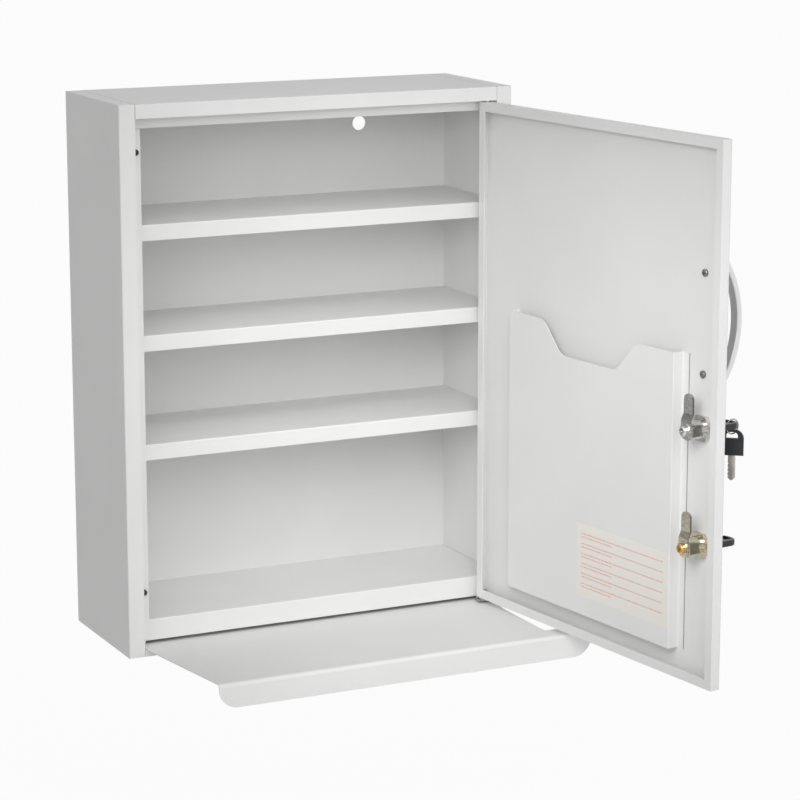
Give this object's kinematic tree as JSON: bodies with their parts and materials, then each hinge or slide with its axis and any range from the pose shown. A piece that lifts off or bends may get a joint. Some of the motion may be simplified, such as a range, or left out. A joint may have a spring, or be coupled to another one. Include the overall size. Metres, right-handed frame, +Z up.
{
  "type": "medicine cabinet",
  "caption": "Wall-hung white sheet-steel medicine cabinet with shelves, a lockable inset door with document pocket, and a pull-out tray.",
  "frame": {"origin": "on the wall plane, on the cabinet's centre line, at the height of the two wall-fixing holes", "axes": "+X to the right seen from the front, +Y into the wall, +Z up"},
  "size_m": [0.4911, 0.5252, 0.5678],
  "materials": {
    "white_paint": "satin white powder coat",
    "white_nylon": "white nylon",
    "buffer_rubber": "dark rubber",
    "zinc_steel": "zinc-plated steel",
    "grey_handle": "pale grey paint",
    "lock_nickel": "nickel plate",
    "lock_pale_brass": "yellowish nickel plate",
    "screw_brass": "yellow zinc plate",
    "key_steel": "plated steel",
    "key_black": "black moulded plastic"
  },
  "bodies": {
    "cabinet": {"left_side_panel": "white_paint", "right_side_panel": "white_paint", "top_panel": "white_paint", "bottom_panel": "white_paint", "back_panel": "white_paint", "floor_panel": "white_paint", "upper_shelf": "white_paint", "middle_shelf": "white_paint", "lower_shelf": "white_paint", "left_tray_guide": "white_nylon", "right_tray_guide": "white_nylon", "lower_hinge_bracket": "zinc_steel", "lower_hinge_pin": "zinc_steel", "upper_hinge_pin": "zinc_steel", "hinge_washer": "white_nylon", "door_buffers": "buffer_rubber"},
    "tray": {"pull_out_tray": "white_paint"},
    "door": {"door_panel": "white_paint", "door_pocket": "white_paint", "door_handle": "grey_handle", "handle_screws": "zinc_steel", "upper_lock_housing": "lock_nickel", "upper_lock_nut": "lock_nickel", "lower_lock_housing": "lock_pale_brass", "lower_lock_nut": "lock_pale_brass"},
    "upper_lock": {"upper_lock_plug": "lock_nickel", "upper_lock_cam": "lock_nickel", "upper_lock_cam_washer": "lock_nickel", "upper_lock_cam_screw": "lock_nickel"},
    "lower_lock": {"lower_lock_plug": "lock_pale_brass", "lower_lock_cam": "lock_pale_brass", "lower_lock_cam_washer": "lock_pale_brass", "lower_lock_cam_screw": "screw_brass"},
    "upper_key": {"upper_key_blade": "key_steel", "upper_key_head": "key_black"},
    "lower_key": {"lower_key_blade": "key_steel", "lower_key_head": "key_black"},
    "key_ring": {"key_ring": "key_steel"},
    "spare_key": {"spare_key_head": "key_black", "spare_key_blade": "key_steel"}
  },
  "joints": [
    {"name": "door_hinge", "type": "hinge", "parent": "cabinet", "child": "door", "pos_m": [0.1878, -0.145, 0], "axis": [0, 0, 1], "range_deg": [-97, 13]},
    {"name": "tray_slide", "type": "slide", "parent": "cabinet", "child": "tray", "axis": [0, 1, 0], "range_m": [-0.012, 0.114]},
    {"name": "upper_lock_turn", "type": "hinge", "parent": "door", "child": "upper_lock", "pos_m": [0.23061, -0.49368, -0.242], "axis": [0.9925, 0.1219, 0], "range_deg": [0, 90]},
    {"name": "lower_lock_turn", "type": "hinge", "parent": "door", "child": "lower_lock", "pos_m": [0.23061, -0.49368, -0.355], "axis": [0.9925, 0.1219, 0], "range_deg": [0, 90]},
    {"name": "upper_key_pull", "type": "slide", "parent": "upper_lock", "child": "upper_key", "axis": [0.9925, 0.1219, 0], "range_m": [0, 0.024]},
    {"name": "lower_key_pull", "type": "slide", "parent": "lower_lock", "child": "lower_key", "axis": [0.9925, 0.1219, 0], "range_m": [0, 0.024]},
    {"name": "key_ring_swing", "type": "hinge", "parent": "upper_key", "child": "key_ring", "pos_m": [0.26902, -0.48896, -0.242], "axis": [-0.1219, 0.9925, 0], "range_deg": [-20, 20]},
    {"name": "spare_key_swing", "type": "hinge", "parent": "key_ring", "child": "spare_key", "pos_m": [0.26902, -0.48896, -0.2516], "axis": [-0.9925, -0.1219, 0], "range_deg": [-15, 15]}
  ]
}
